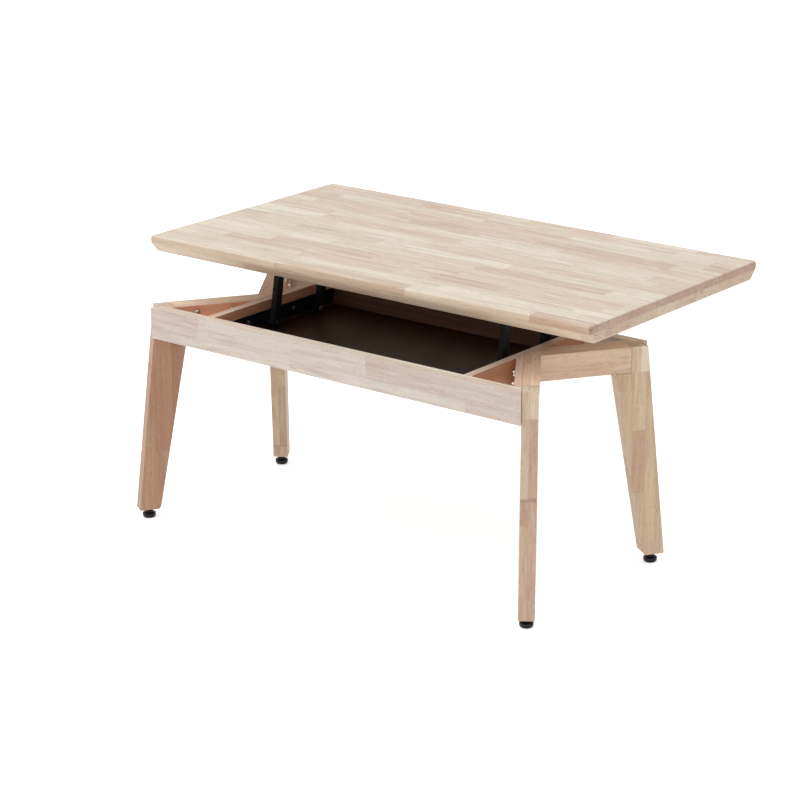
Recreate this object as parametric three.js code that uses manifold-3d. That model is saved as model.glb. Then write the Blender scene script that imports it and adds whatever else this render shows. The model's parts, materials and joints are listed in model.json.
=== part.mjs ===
// Lift top coffee table, in millimetres, +Z up, at real size.
// X runs along the table, Y across it; the top is raised and swung towards +Y.
// The origin is at floor level, below the middle of the table's bounding box.
import * as THREE from 'three';
import { mergeVertices } from 'three/addons/utils/BufferGeometryUtils.js';
import Module from 'manifold-3d';

const wasm = await Module();
wasm.setup();

// ---------- driving dimensions ----------
const GAP = 0.3; // clearance between touching pieces
const ROUND = 24; // sides of a round piece
const SMALL_ROUND = 16; // sides of a small round piece

const TOP_LENGTH = 1100;
const TOP_DEPTH = 600;
const TOP_THICKNESS = 38;
const TOP_EDGE = 16; // upright part of the long edges
const TOP_BEVEL = 20; // how far the long edges slope in below it

const FRAME_TOP = 460; // height of the frame's flush upper face
const FRAME_HALF_DEPTH = 214; // to the outer faces of the aprons
const APRON_HALF_LENGTH = 465; // along the aprons' outer faces
const APRON_OVERRUN = 12; // how far its corners pass the leg's end, along the leg's plane
const APRON_THICKNESS = 25;
const APRON_HEIGHT = 65;

const RAIL_INNER_X = 313; // inner faces of the side rails
const RAIL_THICKNESS = 18;
const TRAY_THICKNESS = 8;
const TRAY_REBATE = 2; // step from the tray floor down to the edge that runs in the grooves
const TRAY_DEPTH = 55; // frame's upper face to the tray floor
const GROOVE_DEPTH = 5; // how far the tray floor runs into the frame

const DIAGONAL_ANGLE = THREE.MathUtils.degToRad(56); // legs' vertical planes from the X axis
const LEG_THICKNESS = 32;
const ARM_THICKNESS = 15;
const BEAM_HEIGHT = 53;
const TONGUE_WIDTH = 35; // leg's upper tongue, beside the beam's end
const LEG_TOP_WIDTH = 73;
const LEG_FOOT_WIDTH = 46;
const LEG_SPLAY = 47; // how far the leg's outer edge runs out at its foot
const LEG_FOOT_CHAMFER = 6;
const FOOT_HEIGHT = 20; // floor to the end of the leg

const ARM_BOLT_STATIONS = [83, 158]; // from the outer end of the diagonal
const ARM_BOLT_DROP = 15; // below the frame's upper face

const LINK_LENGTH = 128; // pivot to pivot
const LINK_SPACING = 145; // front link to rear link
const LINK_WIDTH = 18;
const LINK_SHANK = 102; // straight part above the lower pivot
const LINK_CRANK = THREE.MathUtils.degToRad(16); // between that part and the line of the pivots
const LINK_THICKNESS = 12;
const LINK_WALL = 2;
const LINK_OPEN_ANGLE = THREE.MathUtils.degToRad(116); // of the pivots' line, from -Y up
const LINK_INNER_X = 281; // inner face of the links
const FRONT_PIVOT_Y = -33; // lower pivot of the front links
const PIVOT_DROP = 43; // lower pivots below the frame's upper face
const TOP_PIVOT_DROP = 10; // upper pivots below the top's underside
const CLOSED_GAP = 1; // under the lowered top
const PIN_RADIUS = 4;
const PIN_HOLE = 4.3;
const PLATE_THICKNESS = 3;
const PLATE_HALF_LENGTH = 186;
const PLATE_TOP_DROP = 20; // base plate's upper edge below the frame's upper face
const PLATE_CLEARANCE = 3; // base plate's lower edge above the tray floor
const PLATE_SCREWS_Y = [-88, 54];
const BRACKET_FLANGE_WIDTH = 18;
const BRACKET_END = 17; // bracket's length past its pivots

// ---------- worked out from them ----------
const DIAGONAL_COS = Math.cos(DIAGONAL_ANGLE);
const DIAGONAL_SIN = Math.sin(DIAGONAL_ANGLE);
const END_OUTER_X = APRON_HALF_LENGTH - APRON_OVERRUN * DIAGONAL_COS + LEG_THICKNESS * DIAGONAL_SIN;
const END_OUTER_Y = FRAME_HALF_DEPTH - APRON_OVERRUN * DIAGONAL_SIN - LEG_THICKNESS * DIAGONAL_COS;
const DIAGONAL_LENGTH = END_OUTER_Y / DIAGONAL_SIN;
const APEX_X = END_OUTER_X - DIAGONAL_LENGTH * DIAGONAL_COS;
const RAIL_OUTER_X = RAIL_INNER_X + RAIL_THICKNESS;
const APRON_BACK_Y = FRAME_HALF_DEPTH - APRON_THICKNESS;
const FRAME_BOTTOM = FRAME_TOP - APRON_HEIGHT;
const TRAY_FLOOR = FRAME_TOP - TRAY_DEPTH;
const LOWER_PIVOT_Z = FRAME_TOP - PIVOT_DROP;
const SWING_Y = LINK_LENGTH * Math.cos(LINK_OPEN_ANGLE);
const SWING_Z = LINK_LENGTH * Math.sin(LINK_OPEN_ANGLE);
const TOP_UNDERSIDE = LOWER_PIVOT_Z + SWING_Z + TOP_PIVOT_DROP;
const LINK_CLOSED_ANGLE = Math.asin((PIVOT_DROP + CLOSED_GAP - TOP_PIVOT_DROP) / LINK_LENGTH);
const TOP_SHIFT_Y = LINK_LENGTH * (Math.cos(LINK_CLOSED_ANGLE) - Math.cos(LINK_OPEN_ANGLE));
const PIVOT_BASES_Y = { front: FRONT_PIVOT_Y, rear: FRONT_PIVOT_Y + LINK_SPACING };
const LINK_OUTER_X = LINK_INNER_X + LINK_THICKNESS;
const PLATE_INNER_X = RAIL_INNER_X - GAP - PLATE_THICKNESS;

// ---------- materials ----------
function material(color, roughness, metalness = 0) {
  return new THREE.MeshStandardMaterial({ color, roughness, metalness });
}

const wood = () => material(0xdcc2a4, 0.6);
const darkPanel = () => material(0x2b211c, 0.5);
const blackSteel = () => material(0x14151a, 0.45, 0.8);
const zincSteel = () => material(0xb9b9b4, 0.35, 1);
const blackPlastic = () => material(0x121212, 0.6);

// ---------- solids ----------
function toSolid(geometry) {
  const bare = geometry.clone();
  bare.deleteAttribute('normal');
  bare.deleteAttribute('uv');
  const merged = mergeVertices(bare, 1e-4);
  return new wasm.Manifold(new wasm.Mesh({
    numProp: 3,
    vertProperties: Float32Array.from(merged.attributes.position.array),
    triVerts: Uint32Array.from(merged.index.array),
  }));
}

function toGeometry(solid) {
  const mesh = solid.getMesh();
  const geometry = new THREE.BufferGeometry();
  geometry.setAttribute('position', new THREE.BufferAttribute(Float32Array.from(mesh.vertProperties), 3));
  geometry.setIndex(new THREE.BufferAttribute(Uint32Array.from(mesh.triVerts), 1));
  geometry.computeVertexNormals();
  return geometry;
}

function cut(geometry, tools) {
  return toGeometry(tools.reduce((solid, tool) => solid.subtract(toSolid(tool)), toSolid(geometry)));
}

function join(geometries) {
  const [first, ...others] = geometries.map(toSolid);
  return toGeometry(others.reduce((solid, other) => solid.add(other), first));
}

function polygon(points) {
  return new THREE.Shape(points.map(([x, y]) => new THREE.Vector2(x, y)));
}

function prism(shape, depth) {
  return new THREE.ExtrudeGeometry(shape, { depth, bevelEnabled: false });
}

// A plan outline in X and Y, standing from low to high.
function plank(points, low, high) {
  return prism(polygon(points), high - low).translate(0, 0, low);
}

// A side outline in Y and Z, reaching from low to high along X.
function sidePrism(shape, low, high) {
  const turn = new THREE.Matrix4().makeBasis(
    new THREE.Vector3(0, 1, 0),
    new THREE.Vector3(0, 0, 1),
    new THREE.Vector3(1, 0, 0),
  );
  return prism(shape, high - low).applyMatrix4(turn).translate(low, 0, 0);
}

function box(low, high) {
  const size = high.map((value, i) => value - low[i]);
  const middle = high.map((value, i) => (value + low[i]) / 2);
  return new THREE.BoxGeometry(...size).translate(...middle);
}

// A turned piece: profile points are [radius, height], turned about Z.
function turned(profile, sides = ROUND) {
  const points = profile.map(([r, h]) => new THREE.Vector2(r, h));
  return new THREE.LatheGeometry(points, sides).rotateX(Math.PI / 2);
}

// A turned piece whose heights run along X instead.
function turnedAlongX(profile, sides = ROUND) {
  return turned(profile, sides).rotateY(Math.PI / 2);
}

// Mirrors a solid in X or Y, keeping its faces pointing out.
function mirrored(geometry, flipX, flipY) {
  const copy = geometry.clone().scale(flipX ? -1 : 1, flipY ? -1 : 1, 1);
  if (flipX === flipY) return copy;
  const flat = copy.index ? copy.toNonIndexed() : copy;
  const position = flat.attributes.position;
  const a = new THREE.Vector3();
  const b = new THREE.Vector3();
  for (let i = 0; i < position.count; i += 3) {
    a.fromBufferAttribute(position, i);
    b.fromBufferAttribute(position, i + 1);
    position.setXYZ(i, b.x, b.y, b.z);
    position.setXYZ(i + 1, a.x, a.y, a.z);
  }
  flat.computeVertexNormals();
  return flat;
}

const table = new THREE.Group();

function addPiece(name, geometry, pieceMaterial, parent = table) {
  const mesh = new THREE.Mesh(geometry, pieceMaterial);
  mesh.name = name;
  parent.add(mesh);
  return mesh;
}

// ---------- the diagonal planes of the legs ----------
// The front right diagonal: station runs out from the apex, offset runs in from the outer face.
function onDiagonal(station, offset) {
  return [
    APEX_X + station * DIAGONAL_COS - offset * DIAGONAL_SIN,
    -station * DIAGONAL_SIN - offset * DIAGONAL_COS,
  ];
}

function stationAtX(x, offset) {
  return (x - APEX_X + offset * DIAGONAL_SIN) / DIAGONAL_COS;
}

function stationAtY(y, offset) {
  return (-y - offset * DIAGONAL_COS) / DIAGONAL_SIN;
}

// Stands a geometry whose X is station, Y height and Z offset into the front right diagonal.
function placeOnDiagonal(geometry) {
  const frame = new THREE.Matrix4().makeBasis(
    new THREE.Vector3(DIAGONAL_COS, -DIAGONAL_SIN, 0),
    new THREE.Vector3(0, 0, 1),
    new THREE.Vector3(-DIAGONAL_SIN, -DIAGONAL_COS, 0),
  );
  return geometry.clone().applyMatrix4(frame).translate(APEX_X, 0, 0);
}

function legBeam() {
  const railSide = RAIL_OUTER_X + GAP;
  const inner = LEG_THICKNESS;
  const jointStation = DIAGONAL_LENGTH - TONGUE_WIDTH - GAP;
  const outline = [
    onDiagonal(jointStation, 0),
    [onDiagonal(stationAtY(-GAP / 2, 0), 0)[0], -GAP / 2],
    [railSide, -GAP / 2],
    onDiagonal(stationAtX(railSide, inner), inner),
    onDiagonal(jointStation, inner),
  ];
  return plank(outline, FRAME_TOP - BEAM_HEIGHT, FRAME_TOP);
}

function innerArm() {
  const railSide = RAIL_OUTER_X + GAP;
  const near = LEG_THICKNESS + GAP;
  const far = LEG_THICKNESS + ARM_THICKNESS;
  const apronSide = -APRON_BACK_Y + GAP;
  const outline = [
    onDiagonal(stationAtX(railSide, near), near),
    onDiagonal(stationAtX(railSide, far), far),
    onDiagonal(stationAtY(apronSide, far), far),
    onDiagonal(stationAtY(apronSide, near), near),
  ];
  return plank(outline, FRAME_TOP - BEAM_HEIGHT, FRAME_TOP);
}

function leg() {
  const shoulder = FRAME_TOP - BEAM_HEIGHT - GAP;
  const splayAtShoulder = LEG_SPLAY * (BEAM_HEIGHT / (FRAME_TOP - FOOT_HEIGHT));
  const footOuter = DIAGONAL_LENGTH + LEG_SPLAY;
  const footInner = footOuter - LEG_FOOT_WIDTH;
  const outline = polygon([
    [DIAGONAL_LENGTH - TONGUE_WIDTH, shoulder],
    [DIAGONAL_LENGTH + splayAtShoulder - LEG_TOP_WIDTH, shoulder],
    [footInner, FOOT_HEIGHT + LEG_FOOT_CHAMFER],
    [footInner + LEG_FOOT_CHAMFER, FOOT_HEIGHT],
    [footOuter, FOOT_HEIGHT],
    [DIAGONAL_LENGTH, FRAME_TOP],
    [DIAGONAL_LENGTH - TONGUE_WIDTH, FRAME_TOP],
  ]);
  return placeOnDiagonal(prism(outline, LEG_THICKNESS));
}

// Turns a Z-axis piece so that it points inwards across the diagonal, at a station and height.
function acrossDiagonal(geometry, station, height) {
  return placeOnDiagonal(geometry.clone().translate(station, height, 0));
}

const FOOT_STATION = DIAGONAL_LENGTH + LEG_SPLAY - LEG_FOOT_WIDTH / 2;
const [FOOT_X, FOOT_Y] = onDiagonal(FOOT_STATION, LEG_THICKNESS / 2);
const INSERT_RADIUS = 6.5;
const INSERT_LENGTH = 25;
const STEM_RADIUS = 4;

function footInsert() {
  const bore = STEM_RADIUS + GAP;
  const low = FOOT_HEIGHT + GAP;
  const high = low + INSERT_LENGTH;
  const profile = [[bore, low], [INSERT_RADIUS, low], [INSERT_RADIUS, high], [bore, high], [bore, low]];
  return turned(profile).translate(FOOT_X, FOOT_Y, 0);
}

function insertHole() {
  const radius = INSERT_RADIUS + GAP;
  const end = FOOT_HEIGHT + INSERT_LENGTH + 4;
  return turned([[0, 0], [radius, 0], [radius, end], [0, end]]).translate(FOOT_X, FOOT_Y, 0);
}

function levellingFoot() {
  const stemTop = FOOT_HEIGHT + INSERT_LENGTH - 2;
  const profile = [
    [0, 0], [9.5, 0], [12.2, 1.3], [13.6, 3.8], [14, 6.5], [14, 9.5], [13, 10.8],
    [8.5, 11.5], [8.5, 15], [STEM_RADIUS, 15.5], [STEM_RADIUS, stemTop], [0, stemTop],
  ];
  return turned(profile).translate(FOOT_X, FOOT_Y, 0);
}

const ARM_BOLT_RADIUS = 3;
const ARM_BOLT_HEAD = { radius: 6.5, height: 4.5 };
const ARM_BOLT_REACH = 24; // depth of the shank in the leg beam

function armBoltStation(fromEnd) {
  return DIAGONAL_LENGTH - fromEnd;
}

function armBolt(station) {
  const face = LEG_THICKNESS + ARM_THICKNESS + GAP;
  const tip = LEG_THICKNESS - ARM_BOLT_REACH;
  const { radius, height } = ARM_BOLT_HEAD;
  const profile = [
    [0, tip], [ARM_BOLT_RADIUS, tip], [ARM_BOLT_RADIUS, face],
    [radius, face], [radius, face + height - 1.5], [radius - 1.5, face + height], [0, face + height],
  ];
  return acrossDiagonal(turned(profile, SMALL_ROUND), station, FRAME_TOP - ARM_BOLT_DROP);
}

function armBoltHole(station) {
  const radius = ARM_BOLT_RADIUS + GAP;
  const low = LEG_THICKNESS - ARM_BOLT_REACH - 2;
  const high = LEG_THICKNESS + ARM_THICKNESS + 2;
  const drill = turned([[0, low], [radius, low], [radius, high], [0, high]], SMALL_ROUND);
  return acrossDiagonal(drill, station, FRAME_TOP - ARM_BOLT_DROP);
}

const CORNERS = [
  { name: 'front_right', flipX: false, flipY: false },
  { name: 'front_left', flipX: true, flipY: false },
  { name: 'back_right', flipX: false, flipY: true },
  { name: 'back_left', flipX: true, flipY: true },
];

function addCorners() {
  const stations = ARM_BOLT_STATIONS.map(armBoltStation);
  const holes = stations.map(armBoltHole);
  const pieces = [
    ['leg_beam', cut(legBeam(), holes), wood],
    ['inner_arm', cut(innerArm(), holes), wood],
    ['leg', cut(leg(), [insertHole()]), wood],
    ['foot_insert', footInsert(), zincSteel],
    ['levelling_foot', levellingFoot(), blackPlastic],
    ['arm_bolt_outer', armBolt(stations[0]), zincSteel],
    ['arm_bolt_inner', armBolt(stations[1]), zincSteel],
  ];
  for (const corner of CORNERS) {
    for (const [name, geometry, makeMaterial] of pieces) {
      addPiece(`${name}_${corner.name}`, mirrored(geometry, corner.flipX, corner.flipY), makeMaterial());
    }
  }
}

// ---------- aprons, rails and tray ----------
// The thin edge of the tray floor; grown by a clearance, it cuts the grooves that take it.
function trayEdge(clearance) {
  const halfX = RAIL_INNER_X + GROOVE_DEPTH - GAP + clearance;
  const halfY = APRON_BACK_Y + GROOVE_DEPTH - GAP + clearance;
  const low = TRAY_FLOOR - TRAY_THICKNESS - clearance;
  const high = TRAY_FLOOR - TRAY_REBATE + clearance;
  return box([-halfX, -halfY, low], [halfX, halfY, high]);
}

function trayFloor() {
  const halfX = RAIL_INNER_X - GAP;
  const halfY = APRON_BACK_Y - GAP;
  const field = box([-halfX, -halfY, TRAY_FLOOR - TRAY_THICKNESS], [halfX, halfY, TRAY_FLOOR]);
  return join([trayEdge(0), field]);
}

function apron() {
  const endGap = GAP / DIAGONAL_SIN;
  const slope = APRON_THICKNESS * (DIAGONAL_COS / DIAGONAL_SIN);
  const outerEnd = APRON_HALF_LENGTH - endGap;
  const innerEnd = outerEnd - slope;
  const outline = [
    [-outerEnd, -FRAME_HALF_DEPTH], [outerEnd, -FRAME_HALF_DEPTH],
    [innerEnd, -APRON_BACK_Y], [-innerEnd, -APRON_BACK_Y],
  ];
  return cut(plank(outline, FRAME_BOTTOM, FRAME_TOP), [trayEdge(GAP)]);
}

function sideRail() {
  const halfY = APRON_BACK_Y - GAP;
  const board = box([RAIL_INNER_X, -halfY, FRAME_BOTTOM], [RAIL_OUTER_X, halfY, FRAME_TOP]);
  const screwHoles = PLATE_SCREWS_Y.map((y) => plateScrewHole(y));
  return cut(board, [trayEdge(GAP), ...screwHoles]);
}

function addTray() {
  addPiece('front_apron', apron(), wood());
  addPiece('back_apron', mirrored(apron(), false, true), wood());
  addPiece('side_rail_right', sideRail(), wood());
  addPiece('side_rail_left', mirrored(sideRail(), true, false), wood());
  addPiece('tray_floor', trayFloor(), darkPanel());
}

// ---------- lift mechanism ----------
const SCREW_RADIUS = 2;
const SCREW_HEAD = { radius: 4.5, height: 2.5 };
const SCREW_LENGTH = 14;

// A screw whose head faces -X, seated on the plane X = face.
function screwAlongX(face) {
  const { radius, height } = SCREW_HEAD;
  const profile = [
    [0, face - height], [radius - 1.5, face - height], [radius, face - GAP],
    [SCREW_RADIUS, face - GAP], [SCREW_RADIUS, face + SCREW_LENGTH], [0, face + SCREW_LENGTH],
  ];
  return turnedAlongX(profile, SMALL_ROUND);
}

function screwDrillAlongX(face) {
  const radius = SCREW_RADIUS + GAP;
  const end = face + SCREW_LENGTH + 1;
  return turnedAlongX([[0, face - 5], [radius, face - 5], [radius, end], [0, end]], SMALL_ROUND);
}

const PLATE_SCREW_Z = FRAME_TOP - 33;

function plateScrew(y) {
  return screwAlongX(PLATE_INNER_X).translate(0, y, PLATE_SCREW_Z);
}

function plateScrewHole(y) {
  return screwDrillAlongX(PLATE_INNER_X).translate(0, y, PLATE_SCREW_Z);
}

function pinHole(y, z) {
  const start = LINK_INNER_X - 10;
  const end = PLATE_INNER_X;
  return turnedAlongX([[0, start], [PIN_HOLE, start], [PIN_HOLE, end], [0, end]]).translate(0, y, z);
}

// A shoulder pin: its head on the link's inner face, its shank reaching out along X.
function pivotPin(y, z, end) {
  const headFace = LINK_INNER_X - GAP;
  const profile = [
    [0, headFace - 3], [6, headFace - 3], [7, headFace - 2], [7, headFace],
    [PIN_RADIUS, headFace], [PIN_RADIUS, end], [0, end],
  ];
  return turnedAlongX(profile).translate(0, y, z);
}

const BOSS_RADIUS = 6;
const BOSS_FACE = LINK_OUTER_X + GAP;
const LOWER_PIN_END = PLATE_INNER_X - 2;

function baseBracket() {
  const low = TRAY_FLOOR + PLATE_CLEARANCE;
  const high = FRAME_TOP - PLATE_TOP_DROP;
  const plate = box(
    [PLATE_INNER_X, -PLATE_HALF_LENGTH, low],
    [PLATE_INNER_X + PLATE_THICKNESS, PLATE_HALF_LENGTH, high],
  );
  const bossEnd = PLATE_INNER_X + PLATE_THICKNESS / 2;
  const bossProfile = [[0, BOSS_FACE], [BOSS_RADIUS, BOSS_FACE], [BOSS_RADIUS, bossEnd], [0, bossEnd]];
  const feet = Object.values(PIVOT_BASES_Y);
  const bosses = feet.map((y) => turnedAlongX(bossProfile).translate(0, y, LOWER_PIVOT_Z));
  const holes = [...feet.map((y) => pinHole(y, LOWER_PIVOT_Z)), ...PLATE_SCREWS_Y.map(plateScrewHole)];
  return cut(join([plate, ...bosses]), holes);
}

// A straight flat bar with round ends, reaching from one point to another.
function roundBar(from, to, halfWidth, low, high) {
  const along = Math.atan2(to[1] - from[1], to[0] - from[0]);
  const shape = new THREE.Shape();
  shape.absarc(...to, halfWidth, along - Math.PI / 2, along + Math.PI / 2, false);
  shape.absarc(...from, halfWidth, along + Math.PI / 2, along + (3 * Math.PI) / 2, false);
  const settings = { depth: high - low, bevelEnabled: false, curveSegments: 10 };
  return new THREE.ExtrudeGeometry(shape, settings).translate(0, 0, low);
}

// A cranked sheet-steel channel with round ends, open on the +Y side where it stands upright.
function link(baseY) {
  const half = LINK_WIDTH / 2;
  const inside = half - LINK_WALL;
  const crank = [-LINK_SHANK * Math.sin(LINK_CRANK), LINK_SHANK * Math.cos(LINK_CRANK)];
  const pivots = [[0, 0], [0, LINK_LENGTH]];
  const lengths = pivots.map((pivot) => [pivot, crank]);
  const outside = lengths.map(([from, to]) => roundBar(from, to, half, 0, LINK_THICKNESS));
  const hollow = lengths.map(([from, to]) =>
    roundBar(from, to, inside, LINK_WALL, LINK_THICKNESS - LINK_WALL));
  const mouth = hollow.map((part) => part.clone().translate(inside, 0, 0));
  const drill = [[0, -1], [PIN_HOLE, -1], [PIN_HOLE, LINK_THICKNESS + 1], [0, LINK_THICKNESS + 1]];
  const holes = pivots.map(([x, y]) => turned(drill).translate(x, y, 0));
  const stand = new THREE.Matrix4().makeBasis(
    new THREE.Vector3(0, 1, 0),
    new THREE.Vector3(0, 0, 1),
    new THREE.Vector3(1, 0, 0),
  );
  return cut(join(outside), [...hollow, ...mouth, ...holes])
    .applyMatrix4(stand)
    .rotateX(Math.PI / 2 - LINK_OPEN_ANGLE)
    .translate(LINK_INNER_X, baseY, LOWER_PIVOT_Z);
}

const BRACKET_WEB_X = LINK_OUTER_X + GAP;
const BRACKET_FLANGE_Z = TOP_UNDERSIDE - GAP - PLATE_THICKNESS;
const UPPER_PIVOT_Z = LOWER_PIVOT_Z + SWING_Z;
const TOP_PIVOTS_Y = Object.values(PIVOT_BASES_Y).map((y) => y - SWING_Y);
const BRACKET_SCREWS_Y = [TOP_PIVOTS_Y[0] + 22, TOP_PIVOTS_Y[1] - 22];
const BRACKET_SCREW_X = BRACKET_WEB_X + 10;

// A screw whose head faces -Z, driven up into the top.
function bracketScrew(y) {
  const upright = screwAlongX(0).rotateY(-Math.PI / 2);
  return upright.translate(BRACKET_SCREW_X, y, BRACKET_FLANGE_Z);
}

function bracketScrewHole(y) {
  return screwDrillAlongX(0).rotateY(-Math.PI / 2).translate(BRACKET_SCREW_X, y, BRACKET_FLANGE_Z);
}

function topBracket() {
  const low = TOP_PIVOTS_Y[0] - BRACKET_END;
  const high = TOP_PIVOTS_Y[1] + BRACKET_END;
  const ear = 8;
  const flangeTop = TOP_UNDERSIDE - GAP;
  const web = new THREE.Shape();
  web.moveTo(low, flangeTop);
  web.lineTo(low, flangeTop - 7);
  web.absarc(TOP_PIVOTS_Y[0], UPPER_PIVOT_Z, ear, -Math.PI * 0.75, -Math.PI * 0.2, false);
  web.lineTo(TOP_PIVOTS_Y[0] + 20, UPPER_PIVOT_Z);
  web.lineTo(TOP_PIVOTS_Y[1] - 20, UPPER_PIVOT_Z);
  web.absarc(TOP_PIVOTS_Y[1], UPPER_PIVOT_Z, ear, -Math.PI * 0.8, -Math.PI * 0.25, false);
  web.lineTo(high, flangeTop - 7);
  web.lineTo(high, flangeTop);
  const webPlate = sidePrism(web, BRACKET_WEB_X, BRACKET_WEB_X + PLATE_THICKNESS);
  const flange = box(
    [BRACKET_WEB_X + 1, low, BRACKET_FLANGE_Z],
    [BRACKET_WEB_X + BRACKET_FLANGE_WIDTH, high, flangeTop],
  );
  const holes = TOP_PIVOTS_Y.map((y) => pinHole(y, UPPER_PIVOT_Z));
  return cut(join([webPlate, flange]), [...holes, ...BRACKET_SCREWS_Y.map(bracketScrewHole)]);
}

const SIDES = [
  { name: 'right', flipX: false },
  { name: 'left', flipX: true },
];

function addMechanism() {
  const pieces = [
    ['base_bracket', baseBracket(), blackSteel],
    ['top_bracket', topBracket(), blackSteel],
    ['front_link', link(PIVOT_BASES_Y.front), blackSteel],
    ['rear_link', link(PIVOT_BASES_Y.rear), blackSteel],
    ['lower_pin_front', pivotPin(PIVOT_BASES_Y.front, LOWER_PIVOT_Z, LOWER_PIN_END), blackSteel],
    ['lower_pin_rear', pivotPin(PIVOT_BASES_Y.rear, LOWER_PIVOT_Z, LOWER_PIN_END), zincSteel],
    ['upper_pin_front', pivotPin(TOP_PIVOTS_Y[0], UPPER_PIVOT_Z, BRACKET_WEB_X + 6), zincSteel],
    ['upper_pin_rear', pivotPin(TOP_PIVOTS_Y[1], UPPER_PIVOT_Z, BRACKET_WEB_X + 6), zincSteel],
    ['plate_screw_front', plateScrew(PLATE_SCREWS_Y[0]), zincSteel],
    ['plate_screw_rear', plateScrew(PLATE_SCREWS_Y[1]), zincSteel],
    ['bracket_screw_front', bracketScrew(BRACKET_SCREWS_Y[0]), zincSteel],
    ['bracket_screw_rear', bracketScrew(BRACKET_SCREWS_Y[1]), zincSteel],
  ];
  for (const side of SIDES) {
    for (const [name, geometry, makeMaterial] of pieces) {
      addPiece(`${name}_${side.name}`, mirrored(geometry, side.flipX, false), makeMaterial());
    }
  }
}

// ---------- table top ----------
function addTop() {
  const half = TOP_DEPTH / 2;
  const profile = polygon([
    [-half, TOP_THICKNESS], [-half, TOP_THICKNESS - TOP_EDGE], [-half + TOP_BEVEL, 0],
    [half - TOP_BEVEL, 0], [half, TOP_THICKNESS - TOP_EDGE], [half, TOP_THICKNESS],
  ]);
  const slab = sidePrism(profile, -TOP_LENGTH / 2, TOP_LENGTH / 2).translate(0, TOP_SHIFT_Y, TOP_UNDERSIDE);
  const holes = BRACKET_SCREWS_Y.map(bracketScrewHole);
  const allHoles = [...holes, ...holes.map((hole) => mirrored(hole, true, false))];
  addPiece('table_top', cut(slab, allHoles), wood());
}

addTray();
addCorners();
addMechanism();
addTop();

// Bring the bounding box's bottom centre to the origin.
const bounds = new THREE.Box3().setFromObject(table);
const centre = bounds.getCenter(new THREE.Vector3());
table.position.set(-centre.x, -centre.y, -bounds.min.z);

export default table;
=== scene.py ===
"""Looks of the lift top coffee table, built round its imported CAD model. Lengths are in metres."""

import json
import math

import bmesh
import bpy
from mathutils import Matrix, Vector


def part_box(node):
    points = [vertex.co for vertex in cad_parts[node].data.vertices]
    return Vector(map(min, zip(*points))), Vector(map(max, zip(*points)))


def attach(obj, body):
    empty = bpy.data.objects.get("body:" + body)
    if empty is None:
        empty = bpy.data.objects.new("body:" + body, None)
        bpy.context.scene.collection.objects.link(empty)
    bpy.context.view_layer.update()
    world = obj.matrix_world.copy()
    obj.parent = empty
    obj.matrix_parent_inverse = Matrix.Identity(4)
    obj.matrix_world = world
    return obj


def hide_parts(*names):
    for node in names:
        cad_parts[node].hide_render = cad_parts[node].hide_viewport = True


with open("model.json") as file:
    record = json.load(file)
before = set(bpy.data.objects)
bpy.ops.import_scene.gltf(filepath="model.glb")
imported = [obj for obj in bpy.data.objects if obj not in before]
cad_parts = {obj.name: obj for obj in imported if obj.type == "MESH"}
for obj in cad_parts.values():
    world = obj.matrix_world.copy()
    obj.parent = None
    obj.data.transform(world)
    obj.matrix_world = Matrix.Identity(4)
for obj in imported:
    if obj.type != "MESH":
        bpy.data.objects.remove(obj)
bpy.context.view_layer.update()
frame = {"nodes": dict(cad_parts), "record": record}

X = Vector((1, 0, 0))
Y = Vector((0, 1, 0))
Z = Vector((0, 0, 1))
MM = 0.001
CORNERS = ["front_right", "front_left", "back_right", "back_left"]
SIDES = ["right", "left"]

# ---------- driving dimensions ----------
LEG_ANGLE = math.radians(56)  # the legs' upright planes from the X axis

STAVE_WIDTH = 34 * MM
STAVE_LENGTH = 330 * MM  # the longest; the shortest are 0.6 of it
STAVE_THICKNESS = 16.8 * MM  # a little more than half a leg's thickness, so its faces show no glue line
LAYER_RISE = 0.8 * MM  # the layers of staves start this far above a board, for the same reason
CORE_BLOCK = 78 * MM  # width of the blocks at the ends of the top, below its upper layer of staves
SWAY = 14 * MM  # how far the grain wanders across a board

TOP_ROUND = 6.5 * MM  # roundings of edges
APRON_ROUND = 2.2 * MM
BOARD_ROUND = 1.6 * MM
ARM_ROUND = 0.9 * MM
STEEL_ROUND = 0.45 * MM
FINE_ROUND = 0.3 * MM
LONG_EDGE = 12 * MM  # only edges longer than this are rounded on a board
SEAM = 0.01 * MM  # points this near a cut lie on it

BOLT_SHANK = 3 * MM  # corner bolts: radii of shank and head, height of the head, reach below it
BOLT_HEAD = 6.5 * MM
BOLT_HEAD_HEIGHT = 4.5 * MM
BOLT_REACH = 39.3 * MM
PIN_SHANK = 4 * MM  # pivot pins: radii of shank and head, height of the head
PIN_HEAD = 7 * MM
PIN_HEAD_HEIGHT = 3 * MM
SCREW_SHANK = 2 * MM  # wood screws: the same
SCREW_HEAD = 4.5 * MM
SCREW_HEAD_HEIGHT = 2.2 * MM
FOOT_RADIUS = 14 * MM
FOOT_FLAT = 9.5 * MM  # radius of the foot's flat underside
BOWL_HEIGHT = 6.5 * MM  # from the floor to where the foot is widest
RIM_ROUND = 1.4 * MM
RIM_TOP = 10.7 * MM
COLLAR_TOP = 15 * MM
STEM_RADIUS = 3.95 * MM  # over the crests of the foot's thread
THREAD_DEPTH = 0.4 * MM
THREAD_PITCH = 1.25 * MM

CAMERA_AZIMUTH = math.radians(37.88)
CAMERA_ELEVATION = math.radians(17.97)
CAMERA_DISTANCE = 5.45
CAMERA_TARGET = Vector((-0.013, -0.082, 0.287))
CAMERA_LENS = 120.4
FLOOR_HALF_WIDTH = 40


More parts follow.
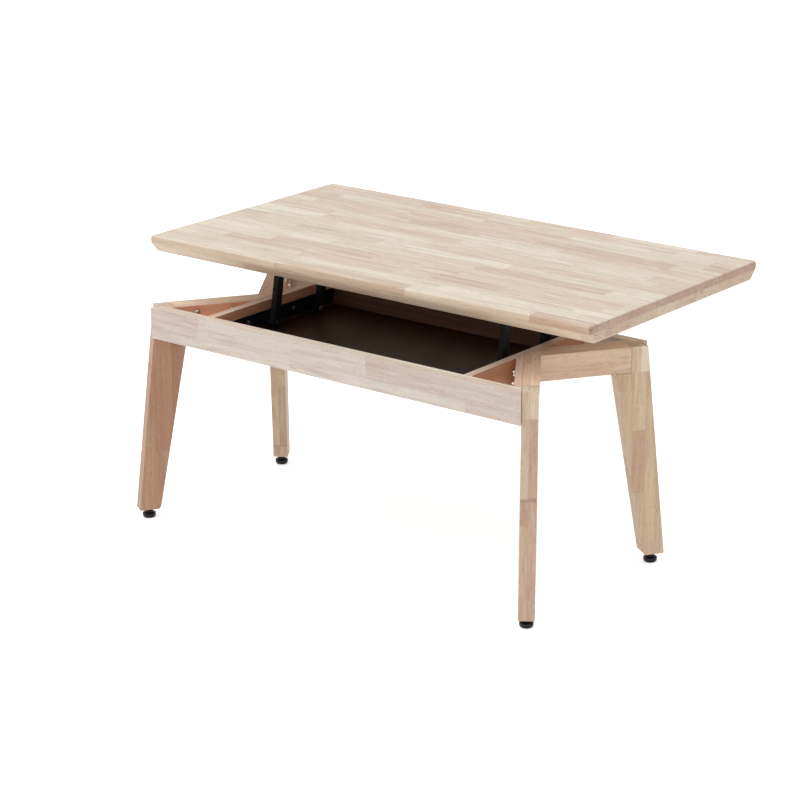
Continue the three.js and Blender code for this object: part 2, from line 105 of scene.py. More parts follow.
# ---------- shader building ----------
class Shader:
    """A material being wired up. Each method adds nodes and returns an output socket."""

    def __init__(self, name):
        self.material = bpy.data.materials.new(name)
        self.material.use_nodes = True
        self.tree = self.material.node_tree
        self.surface = self.tree.nodes["Principled BSDF"]

    def feed(self, socket, value):
        """Links another node's output to a socket, or sets the socket's own value."""
        if isinstance(value, bpy.types.NodeSocket):
            self.tree.links.new(value, socket)
        else:
            socket.default_value = value

    def node(self, kind, inputs=None, output=0, **settings):
        """Adds a node with its inputs and settings, and returns one of its outputs."""
        node = self.tree.nodes.new("ShaderNode" + kind)
        for key, value in settings.items():
            setattr(node, key, value)
        for key, value in (inputs or {}).items():
            self.feed(node.inputs[key], value)
        return node.outputs[output]

    def set(self, **values):
        """Feeds the surface's own inputs, named with _ for each space."""
        for key, value in values.items():
            self.feed(self.surface.inputs[key.replace("_", " ")], value)

    def math(self, operation, a, b=0.0):
        return self.node("Math", {0: a, 1: b}, operation=operation)

    def add(self, a, b):
        return self.math("ADD", a, b)

    def times(self, a, b):
        return self.math("MULTIPLY", a, b)

    def range(self, value, low, high, to_low=0.0, to_high=1.0):
        """Eases from one number to another while a value goes from low to high."""
        inputs = {"Value": value, "From Min": low, "From Max": high, "To Min": to_low, "To Max": to_high}
        return self.node("MapRange", inputs, interpolation_type="SMOOTHSTEP")

    def mix(self, factor, a, b, blend="MIX"):
        inputs = {0: factor, 6: a, 7: b}
        return self.node("Mix", inputs, output=2, data_type="RGBA", blend_type=blend)

    def vector(self, x, y, z):
        return self.node("CombineXYZ", {0: x, 1: y, 2: z})

    def stretch(self, vector, factors):
        """Multiplies each part of a vector by its own number."""
        return self.node("VectorMath", {0: vector, 1: factors}, operation="MULTIPLY")

    def split(self, vector):
        node = self.node("SeparateXYZ", {0: vector}).node
        return node.outputs[0], node.outputs[1], node.outputs[2]

    def attribute(self, name, output="Vector"):
        return self.node("Attribute", output=output, attribute_name=name)

    def position(self):
        return self.node("TexCoord", output="Object")

    def noise(self, vector, scale, detail=2.0, distortion=0.0):
        inputs = {"Vector": vector, "Scale": scale, "Detail": detail, "Distortion": distortion}
        return self.node("TexNoise", inputs)

    def random(self, vector):
        """Three random numbers for each value of a vector."""
        return self.split(self.node("TexWhiteNoise", {"Vector": vector}, output="Color"))

    def bump(self, *layers):
        """Stacks (height, depth in metres, strength) layers and feeds the surface's normal."""
        normal = None
        for height, depth, strength in layers:
            inputs = {"Height": height, "Distance": depth, "Strength": strength}
            if normal is not None:
                inputs["Normal"] = normal
            normal = self.node("Bump", inputs)
        self.set(Normal=normal)


def linear(red, green, blue):
    """A shader colour from sRGB values of 0 to 255."""
    values = []
    for value in (red, green, blue):
        share = value / 255
        values.append(share / 12.92 if share <= 0.04045 else ((share + 0.055) / 1.055) ** 2.4)
    return (*values, 1.0)


# ---------- wood ----------
PALE = linear(223, 217, 203)
CREAM = linear(216, 207, 189)
BEIGE = linear(208, 194, 176)
PINKISH = linear(202, 179, 162)
BROWN = linear(168, 137, 113)
PORE = linear(88, 64, 50)  # pores, cracks and glue lines
WORN = linear(216, 207, 190)  # edges rubbed pale
SKIN = linear(180, 150, 138)  # the upper layer of the top, cut across


def wavy(shader, value, first, second):
    """Stretches and squeezes evenly spaced cells, so that they come out at uneven widths."""
    slow = shader.times(shader.math("SINE", shader.times(value, 1.9)), first)
    fast = shader.times(shader.math("SINE", shader.times(value, 3.7)), second)
    return shader.add(value, shader.add(slow, fast))


def joint_line(shader, place, size, width):
    """1 on the line between two cells, fading to 0 within a width."""
    part = shader.math("FRACT", place)
    near = shader.math("MINIMUM", part, shader.math("SUBTRACT", 1.0, part))
    return shader.range(shader.times(near, size), 0.0, width, 1.0, 0.0)


def stave_cells(shader, along, across, through):
    """The stave at a point, as three whole numbers, and how near its glue lines are."""
    row_place = wavy(shader, shader.math("DIVIDE", across, STAVE_WIDTH), 0.13, 0.09)
    row = shader.math("FLOOR", row_place)
    layer_place = shader.math("DIVIDE", through, STAVE_THICKNESS)
    layer = shader.math("FLOOR", layer_place)
    shift, share, _ = shader.random(shader.vector(row, layer, 3.0))
    length = shader.range(share, 0.0, 1.0, 0.6 * STAVE_LENGTH, STAVE_LENGTH)
    lengths = shader.math("DIVIDE", along, length)
    column_place = wavy(shader, shader.add(lengths, shader.times(shift, 50.0)), 0.17, 0.1)
    column = shader.math("FLOOR", column_place)
    cell = shader.vector(row, column, layer)
    side_line = joint_line(shader, row_place, STAVE_WIDTH, 0.6 * MM)
    layer_line = joint_line(shader, layer_place, STAVE_THICKNESS, 0.5 * MM)
    end_line = joint_line(shader, column_place, STAVE_LENGTH, 0.45 * MM)
    long_line = shader.math("MAXIMUM", side_line, layer_line)
    return cell, shader.math("MAXIMUM", long_line, end_line)


def stave_color(shader, cell):
    """Cream to pinkish wood, with a brown stave here and there."""
    first, second, third = shader.random(cell)
    pale = shader.mix(shader.range(first, 0.15, 0.85), CREAM, BEIGE)
    warm = shader.mix(shader.range(second, 0.4, 0.95, 0.0, 0.8), pale, PINKISH)
    return shader.mix(shader.range(third, 0.75, 1.0, 0.0, 0.4), warm, BROWN)


def bent(shader, along, across, through):
    """A place in a board, swayed across the grain as it runs along it."""
    place = shader.vector(along, across, through)
    sway = shader.noise(shader.stretch(place, (6.0, 22.0, 22.0)), 1.0)
    shift = shader.times(shader.math("SUBTRACT", sway, 0.5), SWAY)
    return shader.vector(along, shader.add(across, shift), through)


def grain_noise(shader, place, cell, scales, detail, distortion=0.0):
    """Noise drawn out along the grain, different in each stave; its scales are along and across."""
    drawn = shader.stretch(place, (scales[0], scales[1], scales[1]))
    start = shader.stretch(cell, (7.31, 5.17, 3.73))
    spot = shader.node("VectorMath", {0: drawn, 1: start}, operation="ADD")
    return shader.noise(spot, 1.0, detail, distortion)


def wood_finish(shader, color, line, height, rough):
    """Painted shade and tone, worn edges, lacquer and bump, the same on every face of a board. The
    painted shade darkens and warms the faces that don't face up.
    """
    edge = shader.attribute("edge", "Fac")
    color = shader.mix(shader.times(line, 0.3), color, PORE)
    # painted shade: faces turned away from the light from above are multiplied by the board's shade
    # colour, and its alpha keeps upward faces clear
    facing = shader.split(shader.node("TexCoord", output="Normal"))[2]
    upward = shader.times(shader.range(facing, 0.4, 0.8), shader.attribute("shade_and_tone", "Alpha"))
    shade_and_tone = shader.mix(upward, shader.attribute("shade_and_tone", "Color"), (1, 1, 1, 1))
    color = shader.mix(1.0, color, shade_and_tone, "MULTIPLY")
    worn = shader.times(edge, shader.range(shader.noise(shader.position(), 60.0), 0.35, 0.7, 0.1, 0.4))
    color = shader.mix(worn, color, WORN)
    color = shader.mix(shader.times(edge, -0.7), color, PORE)
    shader.set(Base_Color=color, Roughness=shader.add(rough, shader.times(edge, 0.08)))
    shader.set(Specular_IOR_Level=0.42)
    ripple = shader.noise(shader.position(), 9.0)
    shader.bump((height, 0.25 * MM, 0.35), (line, 0.3 * MM, -0.3), (ripple, 0.8 * MM, 0.06))


def face_grain():
    """The long faces of a board: staves side by side, streaked along their length."""
    shader = Shader("rubberwood_face")
    along, across, through = shader.split(shader.attribute("grain"))
    cell, line = stave_cells(shader, along, across, through)
    color = stave_color(shader, cell)
    place = bent(shader, along, across, through)
    figure = grain_noise(shader, place, cell, (3.4, 42.0), 2.0, 1.2)
    streak = grain_noise(shader, place, cell, (8.0, 115.0), 3.0, 0.6)
    fine = grain_noise(shader, place, cell, (14.0, 420.0), 2.0, 0.3)
    fleck = grain_noise(shader, place, cell, (75.0, 900.0), 1.0)
    check = grain_noise(shader, place, cell, (16.0, 420.0), 1.0)
    color = shader.mix(shader.range(figure, 0.46, 0.72, 0.0, 0.6), color, PINKISH)
    color = shader.mix(shader.range(streak, 0.48, 0.78, 0.0, 0.34), color, BROWN)
    color = shader.mix(shader.range(streak, 0.52, 0.28, 0.0, 0.4), color, PALE)
    color = shader.mix(shader.range(fine, 0.50, 0.78, 0.0, 0.16), color, BROWN)
    pores = shader.range(fleck, 0.64, 0.72)
    checks = shader.range(check, 0.775, 0.80)
    color = shader.mix(shader.times(pores, 0.45), color, PORE)
    color = shader.mix(shader.times(checks, 0.75), color, PORE)
    height = shader.math("SUBTRACT", streak, shader.times(shader.math("MAXIMUM", pores, checks), 0.8))
    wood_finish(shader, color, line, height, shader.range(streak, 0.3, 0.7, 0.40, 0.52))
    return shader.material


def end_grain(name, skin_share):
    """The cut ends of a board: blocks of differing tone with open pores and short cracks.
    The share says how far its upper layer of staves takes the skin's colour."""
    shader = Shader(name)
    along, across, through = shader.split(shader.attribute("grain"))
    upper = shader.math("GREATER_THAN", through, -STAVE_THICKNESS)
    place = wavy(shader, shader.math("DIVIDE", across, CORE_BLOCK), 0.13, 0.09)
    block = shader.vector(shader.math("FLOOR", place), 4.0, 9.0)
    face_cell, face_line = stave_cells(shader, along, across, through)
    line = shader.math("MAXIMUM", joint_line(shader, place, CORE_BLOCK, 0.8 * MM), face_line)
    core = stave_color(shader, block)
    skin = shader.mix(skin_share, stave_color(shader, face_cell), SKIN)
    color = shader.mix(upper, core, skin)
    spot = shader.vector(across, through, 0.0)
    rings = shader.noise(shader.stretch(spot, (60.0, 210.0, 1.0)), 1.0, 3.0, 1.2)
    fibre = shader.noise(spot, 1500.0, 1.0)
    crack = shader.noise(shader.stretch(spot, (38.0, 300.0, 1.0)), 1.0, 1.0, 0.5)
    cracks = shader.range(crack, 0.70, 0.74)
    color = shader.mix(shader.range(rings, 0.4, 0.75, 0.0, 0.45), color, BROWN)
    color = shader.mix(shader.range(fibre, 0.58, 0.7, 0.0, 0.4), color, PORE)
    color = shader.mix(shader.times(cracks, 0.8), color, PORE)
    height = shader.math("SUBTRACT", rings, shader.add(shader.range(fibre, 0.55, 0.7), cracks))
    wood_finish(shader, color, line, height, shader.range(rings, 0.3, 0.7, 0.5, 0.6))
    return shader.material


# ---------- other materials ----------
def tray_board(name, dark, light):
    """Dark brown faced board with a satin sheen and a fine printed grain."""
    shader = Shader(name)
    streak = shader.noise(shader.stretch(shader.position(), (6.0, 180.0, 180.0)), 1.0, 4.0, 0.3)
    cloud = shader.noise(shader.position(), 5.0, 3.0)
    color = shader.mix(shader.range(streak, 0.35, 0.7), dark, light)
    color = shader.mix(shader.range(cloud, 0.3, 0.7, 0.0, 0.5), color, dark)
    shader.set(Base_Color=color, Roughness=shader.range(cloud, 0.3, 0.7, 0.36, 0.46))
    shader.set(Specular_IOR_Level=0.07)
    shader.bump((streak, 0.1 * MM, 0.25), (cloud, 0.5 * MM, 0.05))
    return shader.material


def black_steel():
    """Satin black powder coat with a fine orange peel, rubbed through a little at the edges."""
    shader = Shader("black_steel")
    peel = shader.noise(shader.position(), 900.0, 2.0)
    cloud = shader.noise(shader.position(), 30.0, 3.0)
    color = shader.mix(cloud, linear(11, 11, 13), linear(20, 19, 21))
    edge = shader.attribute("edge", "Fac")
    rub = shader.times(edge, shader.range(shader.noise(shader.position(), 140.0), 0.5, 0.72))
    color = shader.mix(shader.times(rub, 0.5), color, linear(120, 118, 116))
    shader.set(Base_Color=color, Metallic=shader.times(rub, 0.8))
    shader.set(Roughness=shader.range(cloud, 0.3, 0.7, 0.44, 0.56), Specular_IOR_Level=0.14)
    shader.bump((peel, 0.12 * MM, 0.3))
    return shader.material


def bright_metal(name, dark, light, roughness):
    """A plated or drawn metal with fine turning marks and duller patches."""
    shader = Shader(name)
    brush = shader.noise(shader.position(), 1800.0, 2.0)
    patch = shader.noise(shader.position(), 120.0, 3.0)
    edge = shader.attribute("edge", "Fac")
    color = shader.mix(shader.range(patch, 0.3, 0.7), dark, light)
    color = shader.mix(shader.times(edge, 0.5), color, linear(235, 233, 228))
    rough = shader.range(patch, 0.3, 0.7, roughness, roughness + 0.14)
    shader.set(Base_Color=color, Metallic=1.0, Roughness=rough)
    shader.bump((brush, 0.05 * MM, 0.2))
    return shader.material


def foot_plastic():
    """Glossy moulded black plastic, faintly rippled, scuffed where it meets the floor."""
    shader = Shader("foot_plastic")
    spark = shader.noise(shader.position(), 1400.0, 2.0)
    cloud = shader.noise(shader.position(), 90.0, 2.0)
    height = shader.split(shader.position())[2]
    scuff = shader.times(shader.range(height, 4 * MM, 0.0), shader.range(cloud, 0.45, 0.7))
    color = shader.mix(cloud, linear(10, 8, 10), linear(18, 16, 18))
    color = shader.mix(shader.times(scuff, 0.3), color, linear(60, 58, 58))
    rough = shader.add(shader.range(cloud, 0.3, 0.7, 0.16, 0.26), shader.times(scuff, 0.3))
    shader.set(Base_Color=color, Roughness=rough, Specular_IOR_Level=0.24)
    shader.bump((spark, 0.05 * MM, 0.2))
    return shader.material


MATERIALS = {
    "rubberwood": [face_grain(), end_grain("rubberwood_end", 0.0)],
    "tray_board": [tray_board("tray_board", linear(43, 27, 20), linear(52, 34, 26))],
    "black_steel": [black_steel()],
    "zinc_steel": [bright_metal("zinc_steel", linear(168, 168, 164), linear(214, 213, 208), 0.24)],
    "foot_plastic": [foot_plastic()],
}
# A lighter copy of the tray board, painted light on the tray's walls against the shade under the top; the
# floor's copy above is painted darker.
TRAY_SIDE_LIGHTENED = tray_board("tray_side_lightened", linear(106, 76, 61), linear(122, 89, 73))
FACED_WOOD = [*MATERIALS["rubberwood"], TRAY_SIDE_LIGHTENED]  # boards that close the tray; their faces towards it get the tray board painted lighter against the shade there
TOP_WOOD = [MATERIALS["rubberwood"][0], end_grain("rubberwood_top_end", 0.6)]
# A darker copy of the zinc: painted shade for the pins and screws, which sit in shade under the top and
# beside the tray
SHADED_ZINC = [bright_metal("shaded_zinc", linear(78, 74, 68), linear(104, 99, 90), 0.42)]


# ---------- pieces ----------
BODIES = frame["record"]["behaviour"]["bodies"]
BODY_OF = {node: body for body, nodes in BODIES.items() for node in nodes}
SLOT_OF = {part["node"]: part["material_slot"] for part in frame["record"]["subparts"]}
FACE, END, FACING = 0, 1, 2  # places of a board's materials in its list


def add_piece(bm, node, materials=None):
    """Makes a piece of a mesh being built. It takes a CAD node's place, body and slot."""
    mesh = bpy.data.meshes.new(node + "_look")
    bm.to_mesh(mesh)
    bm.free()
    for material in materials or MATERIALS[SLOT_OF[node]]:
        mesh.materials.append(material)
    piece = bpy.data.objects.new(node + "_look", mesh)
    bpy.context.scene.collection.objects.link(piece)
    normals = piece.modifiers.new("flat faces stay flat", "WEIGHTED_NORMAL")
    normals.keep_sharp = True
    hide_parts(node)
    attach(piece, BODY_OF[node])


def cad_shape(node):
    """A CAD node's shape as a mesh being built, its triangles joined into flat faces."""
    bm = bmesh.new()
    bm.from_mesh(frame["nodes"][node].data)
    bmesh.ops.remove_doubles(bm, verts=bm.verts[:], dist=0.002 * MM)
    bmesh.ops.dissolve_limit(bm, angle_limit=math.radians(1), verts=bm.verts[:], edges=bm.edges[:])
    return bm


def round_edges(bm, radius, shortest, segments=4, wear=1.0):
    """Rounds the edges longer than a length, and marks the middle of each rounding.
    Wear is 1 for an edge rubbed pale and -1 for the dark seam between two boards."""
    sharp = math.radians(20)
    edges = [e for e in bm.edges
             if e.is_manifold and e.calc_length() > shortest and e.calc_face_angle(0.0) > sharp]
    made = bmesh.ops.bevel(bm, geom=edges, offset=radius, segments=segments, profile=0.5,
                           affect="EDGES", clamp_overlap=True)
    rounded = set(made["faces"])
    worn = bm.verts.layers.float.new("edge")
    for vertex in bm.verts:
        inside = bool(vertex.link_faces) and all(face in rounded for face in vertex.link_faces)
        vertex[worn] = wear if inside else 0.0
    smooth_below(bm, math.radians(40))


def smooth_below(bm, angle):
    """Shades smooth across every edge that turns by less than an angle."""
    for face in bm.faces:
        face.smooth = True
    for edge in bm.edges:
        edge.smooth = edge.calc_face_angle(math.pi) < angle


def set_grain(bm, axes, origin, offset, shade_and_tone):
    """Gives every point its place along, across and through the grain, and the board's tone and painted
    side shade.
    Its last number says how far the board's upper face is kept clear of it."""
    grain = bm.verts.layers.float_vector.new("grain")
    color = bm.verts.layers.float_color.new("shade_and_tone")
    for vertex in bm.verts:
        place = vertex.co - origin
        vertex[grain] = Vector([place.dot(axis) for axis in axes]) + offset
        vertex[color] = shade_and_tone


def mark_ends(bm, along):
    """Gives the end grain material to the faces across the grain."""
    bm.normal_update()
    for face in bm.faces:
        face.material_index = END if abs(face.normal.dot(along)) > 0.75 else FACE


def board(node, axes, index, shade_and_tone, radius=BOARD_ROUND, split=None, wear=0.6):
    """A wooden piece: the CAD shape with rounded edges, grained along the first axis.
    The index picks its run of staves, and split may cut its faces before they are rounded."""
    bm = cad_shape(node)
    if split:
        split(bm)
    round_edges(bm, radius, LONG_EDGE, wear=wear)
    low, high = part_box(node)
    origin = Vector(((low.x + high.x) / 2, (low.y + high.y) / 2, high.z + LAYER_RISE))
    offset = Vector((0.731 * index, 0.513 * index, 0.0))
    set_grain(bm, axes, origin, offset, shade_and_tone)
    mark_ends(bm, axes[0])
    return bm


def outward(corner):
    """The direction in which a corner's leg beam runs out from the middle of the table."""
    across = 1 if corner.endswith("right") else -1
    depth = -1 if corner.startswith("front") else 1
    return Vector((across * math.cos(LEG_ANGLE), depth * math.sin(LEG_ANGLE), 0))


# Painted shade, partly the boards' own tone: each colour multiplies a board's faces that don't face up,
# darker and warmer where less light falls; its last number keeps the upward faces clear of it. The beam's
# reaches its upper faces too.
TOP_SIDE_SHADE = (0.82, 0.735, 0.67, 1.0)  # painted warm shade on its edges and sides, which face away from the light from above
APRON_SIDE_SHADE = (0.80, 0.81, 0.87, 1.0)
FRONT_ARM_SHADE = (1.10, 0.66, 0.48, 0.7)  # painted warm shade on the upright faces inside the frame, redder there
BACK_ARM_SHADE = (0.98, 0.72, 0.58, 0.7)
RAIL_SHADES = {"right": (0.70, 0.44, 0.33, 0.7), "left": (0.93, 0.53, 0.38, 0.7)}
BEAM_WARM_SHADE = (1.14, 0.99, 0.89, 0.0)
BLOCK_TONE_AND_SHADE = (0.94, 0.86, 0.78, 0.6)  # tone of the blocks at the heads of the legs, with painted side shade
FIRST_RUN = {"leg": 35, "leg_beam": 26, "inner_arm": 7}  # runs of staves at the first corner
# each leg's tone and painted shade; the front left leg is darkest, in the shade under the table
LEG_SHADES_AND_TONES = {
    "front_right": (0.74, 0.625, 0.54, 0.2),
    "front_left": (0.56, 0.365, 0.27, 0.2),
    "back_right": (0.80, 0.69, 0.57, 0.2),
    "back_left": (0.70, 0.59, 0.49, 0.2),
}


def add_corner(corner, number):
    """A leg, its beam and the inner arm, each with its own run of staves."""
    run = outward(corner)
    side = Z.cross(run)
    index = {kind: first + 3 * number for kind, first in FIRST_RUN.items()}
    node = "leg_" + corner
    leg = board(node, (Z, run, side), index["leg"], LEG_SHADES_AND_TONES[corner], wear=0.2)
    set_head_block(leg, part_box("leg_beam_" + corner)[0].z)
    add_piece(leg, node)
    node = "leg_beam_" + corner
    add_piece(board(node, (run, Z, side), index["leg_beam"], BEAM_WARM_SHADE, wear=-0.3), node)
    node = "inner_arm_" + corner
    shade_and_tone = FRONT_ARM_SHADE if corner.startswith("front") else BACK_ARM_SHADE
    add_piece(board(node, (run, Z, side), index["inner_arm"], shade_and_tone, ARM_ROUND, wear=-0.8), node)


def set_head_block(bm, height):
    """Makes the wood of a leg above a height a block of its own, with other staves, its own tone and
    painted side shade.
    """
    other_staves = Vector((1.9, 0.4 * STAVE_WIDTH, 0))
    cut_across(bm, (0, 0, height), Z)
    seam = [e for e in bm.edges if all(abs(v.co.z - height) < SEAM for v in e.verts)]
    bmesh.ops.split_edges(bm, edges=seam)
    grain = bm.verts.layers.float_vector["grain"]
    color = bm.verts.layers.float_color["shade_and_tone"]
    for vertex in bm.verts:
        middle = sum(face.calc_center_median().z for face in vertex.link_faces) / len(vertex.link_faces)
        if middle > height:
            vertex[grain] += other_staves
            vertex[color] = BLOCK_TONE_AND_SHADE


def face_the_tray(bm, inward, reach, high):
    """Gives a board's face towards the tray its dark facing, painted lighter than the tray's floor
    against the shade there, from just below the tray's floor up to a height, and within a reach of the
    table's middle."""
    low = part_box("tray_floor")[1].z - 3 * MM
    for face in bm.faces:
        centre = face.calc_center_median()
        inside = abs(centre.x) < reach and low < centre.z < high
        if face.normal.dot(inward) > 0.75 and inside:
            face.material_index = FACING


def cut_across(bm, point, normal):
    """Splits every face that a plane crosses."""
    everything = bm.verts[:] + bm.edges[:] + bm.faces[:]
    bmesh.ops.bisect_plane(bm, geom=everything, plane_co=point, plane_no=normal)


def add_apron(node, inward, index):
    """An apron, dark between the side rails."""
    def split_at_rails(bm):
        for side in SIDES:
            low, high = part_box("side_rail_" + side)
            edge = low.x if side == "right" else high.x
            cut_across(bm, (edge, 0, 0), X)

    bm = board(node, (X, Z, Y), index, APRON_SIDE_SHADE, APRON_ROUND, split_at_rails)
    reach = -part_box("side_rail_left")[1].x
    face_the_tray(bm, inward, reach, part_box(node)[1].z)
    add_piece(bm, node, FACED_WOOD)


def add_rail(side, index):
    """A side rail, dark behind the lift's base plate."""
    node = "side_rail_" + side
    plate_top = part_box("base_bracket_" + side)[1].z - 1 * MM

    def split_at_plate(bm):
        cut_across(bm, (0, 0, plate_top), Z)

    bm = board(node, (Y, Z, X), index, RAIL_SHADES[side], BOARD_ROUND, split_at_plate)
    face_the_tray(bm, -X if side == "right" else X, math.inf, plate_top)
    add_piece(bm, node, FACED_WOOD)


def add_woodwork():
    """The top, the frame and the corners. Each board's number picks its run of staves."""
    top = board("table_top", (X, Y, Z), 0, TOP_SIDE_SHADE, TOP_ROUND, wear=0.1)
    add_piece(top, "table_top", TOP_WOOD)
    add_apron("front_apron", Y, 1)
    add_apron("back_apron", -Y, 2)
    for index, side in enumerate(SIDES):
        add_rail(side, 3 + index)
    for number, corner in enumerate(CORNERS):
        add_corner(corner, number)


def add_tray_floor():
    bm = cad_shape("tray_floor")
    round_edges(bm, FINE_ROUND, LONG_EDGE)
    add_piece(bm, "tray_floor")


def add_steelwork():
    """The brackets and link arms of the lift."""
    for side in SIDES:
        for kind in ["base_bracket", "top_bracket", "front_link", "rear_link"]:
            node = f"{kind}_{side}"
            bm = cad_shape(node)
            round_edges(bm, STEEL_ROUND, 1.2 * MM, segments=2)
            add_piece(bm, node)


# ---------- turned pieces ----------
def polygon_radius(flat, corners):
    """Radius by angle of a regular polygon, given the distance to its flats."""
    step = 2 * math.pi / corners
    return lambda angle: flat / math.cos((angle % step) - step / 2)


def cross_radius(arm, half_width):
    """Radius by angle of a cross of two equal bars."""
    def radius(angle):
        cosine = max(abs(math.cos(angle)), 1e-6)
        sine = max(abs(math.sin(angle)), 1e-6)
        return max(min(arm / cosine, half_width / sine), min(arm / sine, half_width / cosine))
    return radius


def arc(centre, radii, start, end, steps):
    """Rings on part of an ellipse in a turned piece's outline, between two angles in degrees."""
    rings = []
    for i in range(steps + 1):
        angle = math.radians(start + (end - start) * i / steps)
        rings.append((centre[0] + radii[0] * math.cos(angle), centre[1] + radii[1] * math.sin(angle), 0))
    return rings


def turned(rings, place, sides=48):
    """Stacks rings into a closed piece. A ring is its radius, or radius by angle, its height and wear."""
    bm = bmesh.new()
    worn = bm.verts.layers.float.new("edge")
    loops = []
    for radius, height, wear in rings:
        loop = []
        for i in range(sides):
            angle = 2 * math.pi * i / sides
            size = radius(angle) if callable(radius) else radius
            vertex = bm.verts.new((size * math.cos(angle), size * math.sin(angle), height))
            vertex[worn] = wear
            loop.append(vertex)
        loops.append(loop)
    for lower, upper in zip(loops, loops[1:]):
        for i in range(sides):
            j = (i + 1) % sides
            bm.faces.new((lower[i], lower[j], upper[j], upper[i]))
    bm.faces.new(loops[0][::-1])
    bm.faces.new(loops[-1])
    bm.transform(place)
    bmesh.ops.recalc_face_normals(bm, faces=bm.faces[:])
    smooth_below(bm, math.radians(35))
    return bm


def standing(direction, foot):
    """A placement that stands a turned piece on a point, its height running in a direction."""
    turn = direction.to_track_quat("Z", "Y").to_matrix().to_4x4()
    return Matrix.Translation(foot) @ turn


def socket_head(shank, reach, head, height):
    """A button head bolt with a hexagon socket; height 0 is the seat below the head."""
    socket = polygon_radius(0.42 * head, 6)
    return [
        (shank - 0.4 * MM, -reach, 0), (shank, -reach + 0.5 * MM, 0), (shank, -0.2 * MM, 0),
        (head - 0.3 * MM, 0, 0), (head, 0.3 * MM, 0.6), (head, 0.45 * height, 0.4),
        (0.9 * head, 0.75 * height, 0), (0.74 * head, 0.95 * height, 0), (0.62 * head, height, 0.8),
        (socket, height, 0.6), (socket, 0.35 * height, 0), (0.1 * MM, 0.3 * height, 0),
    ]


def cross_head(shank, reach, head, height):
    """A pan head screw with a cross recess; height 0 is the seat below the head."""
    cross = cross_radius(0.55 * head, 0.14 * head)
    deep = cross_radius(0.32 * head, 0.10 * head)
    return [
        (0.2 * shank, -reach, 0), (0.75 * shank, -reach + 3 * MM, 0), (shank, -reach + 5 * MM, 0),
        (shank, -0.1 * MM, 0), (head - 0.2 * MM, 0, 0), (head, 0.25 * MM, 0.7),
        (0.96 * head, 0.45 * height, 0), (0.8 * head, 0.8 * height, 0), (0.66 * head, height, 0.5),
        (cross, height, 0.4), (deep, 0.3 * height, 0), (0.05 * MM, 0.25 * height, 0),
    ]


def pin_head(shank, reach, head, height):
    """A shoulder pin with a domed head and a small turning centre."""
    return [
        (shank - 0.4 * MM, -reach, 0), (shank, -reach + 0.4 * MM, 0), (shank, -0.1 * MM, 0),
        (head - 0.2 * MM, 0, 0), (head, 0.2 * MM, 0.6), (head, 0.55 * height, 0.5),
        (0.9 * head, 0.82 * height, 0), (0.6 * head, 0.97 * height, 0), (0.25 * head, height, 0),
        (0.16 * head, height, 0.6), (0.08 * head, 0.8 * height, 0), (0.02 * head, 0.75 * height, 0),
    ]


def add_corner_hardware(corner):
    """The bolts that hold an inner arm to its beam, their heads inside the frame, and the foot."""
    run = outward(corner)
    inward = run.cross(Z)
    if inward.x * run.x > 0:
        inward = -inward
    rings = socket_head(BOLT_SHANK, BOLT_REACH, BOLT_HEAD, BOLT_HEAD_HEIGHT)
    for kind in ["arm_bolt_outer", "arm_bolt_inner"]:
        node = f"{kind}_{corner}"
        low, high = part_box(node)
        seat = (low + high) / 2 + inward * (BOLT_REACH - BOLT_HEAD_HEIGHT) / 2
        add_piece(turned(rings, standing(inward, seat)), node)
    add_foot(corner)


def add_foot(corner):
    """The insert in the leg's end, and the foot that screws into it."""
    node = "foot_insert_" + corner
    bm = cad_shape(node)
    round_edges(bm, FINE_ROUND, 0.8 * MM, segments=2)
    add_piece(bm, node)
    node = "levelling_foot_" + corner
    low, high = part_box(node)
    middle = Vector(((low.x + high.x) / 2, (low.y + high.y) / 2, 0))
    add_piece(turned(foot_rings(high.z), Matrix.Translation(middle), sides=96), node)


def foot_rings(top):
    """A bowl shaped pad, a gripped collar and a threaded stem."""
    def gripped(angle):
        return 8.2 * MM + 0.3 * MM * math.cos(24 * angle)

    bowl = arc((FOOT_FLAT, BOWL_HEIGHT), (FOOT_RADIUS - FOOT_FLAT, BOWL_HEIGHT), -90, 0, 7)
    rim = arc((FOOT_RADIUS - RIM_ROUND, RIM_TOP - RIM_ROUND), (RIM_ROUND, RIM_ROUND), 0, 90, 4)
    collar = [
        (8.2 * MM, RIM_TOP + 0.8 * MM, 0), (gripped, RIM_TOP + 1.2 * MM, 0),
        (gripped, COLLAR_TOP - 0.6 * MM, 0), (7.8 * MM, COLLAR_TOP, 0),
        (4.2 * MM, COLLAR_TOP + 0.3 * MM, 0),
    ]
    thread = thread_rings(COLLAR_TOP + 0.6 * MM, top)
    return [*bowl, *rim, *collar, *thread, (3.3 * MM, top, 0)]


def thread_rings(bottom, top):
    """A screw thread's rings, four to each turn."""
    def radius_at(height):
        def radius(angle):
            phase = (height / THREAD_PITCH - angle / math.tau) % 1
            return STEM_RADIUS - THREAD_DEPTH * (1 - abs(2 * phase - 1))
        return radius

    step = THREAD_PITCH / 4
    heights = [bottom + i * step for i in range(int((top - bottom - 0.4 * MM) / step))]
    return [(radius_at(height), height, 0) for height in heights]


def add_mechanism_hardware(side):
    """The pins that the link arms turn on, and the screws of the plate and the bracket."""
    inward = -X if side == "right" else X
    for kind in ["lower_pin_front", "lower_pin_rear", "upper_pin_front", "upper_pin_rear"]:
        add_headed(f"{kind}_{side}", inward, pin_head, PIN_SHANK, PIN_HEAD, PIN_HEAD_HEIGHT)
    for kind, direction in [("plate_screw", inward), ("bracket_screw", -Z)]:
        for place in ["front", "rear"]:
            node = f"{kind}_{place}_{side}"
            add_headed(node, direction, cross_head, SCREW_SHANK, SCREW_HEAD, SCREW_HEAD_HEIGHT)


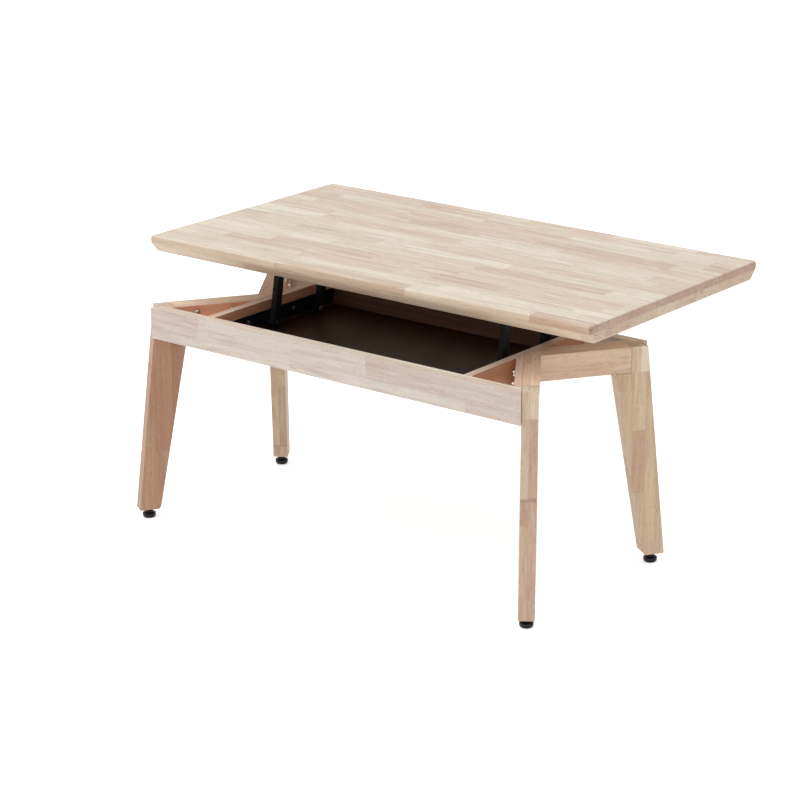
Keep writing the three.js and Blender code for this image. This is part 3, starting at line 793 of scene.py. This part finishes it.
def add_headed(node, direction, outline, shank, head, height):
    """A pin or screw as long as its CAD node, its head's top facing a direction."""
    low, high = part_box(node)
    length = abs((high - low).dot(direction))
    seat = (low + high) / 2 + direction * (length / 2 - height)
    rings = outline(shank, length - height, head, height)
    # zinc pins and screws take the darker copy of the zinc, painted shade
    finish = SHADED_ZINC if SLOT_OF[node] == "zinc_steel" else None
    add_piece(turned(rings, standing(direction, seat)), node, finish)


# ---------- studio ----------
def add_floor():
    """A plain white floor that glows a little, so that the table's shadow on it is faint."""
    shader = Shader("studio_floor")
    cloud = shader.noise(shader.position(), 1.5, 3.0)
    color = shader.mix(cloud, (0.93, 0.93, 0.93, 1), (0.95, 0.95, 0.95, 1))
    shader.set(Base_Color=color, Roughness=0.6, Specular_IOR_Level=0.2)
    shader.set(Emission_Color=(1.0, 1.0, 1.0, 1.0), Emission_Strength=0.5)
    bm = bmesh.new()
    bmesh.ops.create_grid(bm, x_segments=1, y_segments=1, size=FLOOR_HALF_WIDTH)
    mesh = bpy.data.meshes.new("studio_floor")
    bm.to_mesh(mesh)
    bm.free()
    mesh.materials.append(shader.material)
    floor = bpy.data.objects.new("studio_floor", mesh)
    bpy.context.scene.collection.objects.link(floor)


def add_light(name, direction, distance, size, power):
    """A square softbox facing the table."""
    light = bpy.data.lights.new(name, "AREA")
    light.size = size
    light.energy = power
    lamp = bpy.data.objects.new(name, light)
    lamp.location = CAMERA_TARGET + Vector(direction).normalized() * distance
    lamp.rotation_mode = "QUATERNION"
    lamp.rotation_quaternion = Vector(direction).to_track_quat("Z", "Y")
    bpy.context.scene.collection.objects.link(lamp)


def add_studio():
    add_floor()
    world = bpy.data.worlds.new("studio")
    world.use_nodes = True
    background = world.node_tree.nodes["Background"]
    background.inputs["Color"].default_value = (1.0, 1.0, 1.0, 1.0)
    background.inputs["Strength"].default_value = 0.72
    bpy.context.scene.world = world
    add_light("key", (-1.0, -2.2, 2.4), 5.0, 3.0, 64)
    add_light("overhead", (0.2, 0.3, 3.0), 4.5, 4.0, 82)
    bpy.context.scene.view_settings.view_transform = "Standard"


def add_camera():
    camera = bpy.data.cameras.new("camera")
    camera.lens = CAMERA_LENS
    camera.sensor_width = 36
    level = math.cos(CAMERA_ELEVATION)
    back = Vector((
        math.sin(CAMERA_AZIMUTH) * level,
        -math.cos(CAMERA_AZIMUTH) * level,
        math.sin(CAMERA_ELEVATION),
    ))
    holder = bpy.data.objects.new("camera", camera)
    holder.location = CAMERA_TARGET + back * CAMERA_DISTANCE
    holder.rotation_mode = "QUATERNION"
    holder.rotation_quaternion = back.to_track_quat("Z", "Y")
    bpy.context.scene.collection.objects.link(holder)
    bpy.context.scene.camera = holder


add_woodwork()
add_tray_floor()
add_steelwork()
for each in CORNERS:
    add_corner_hardware(each)
for each in SIDES:
    add_mechanism_hardware(each)
add_studio()
add_camera()

bpy.context.view_layer.update()
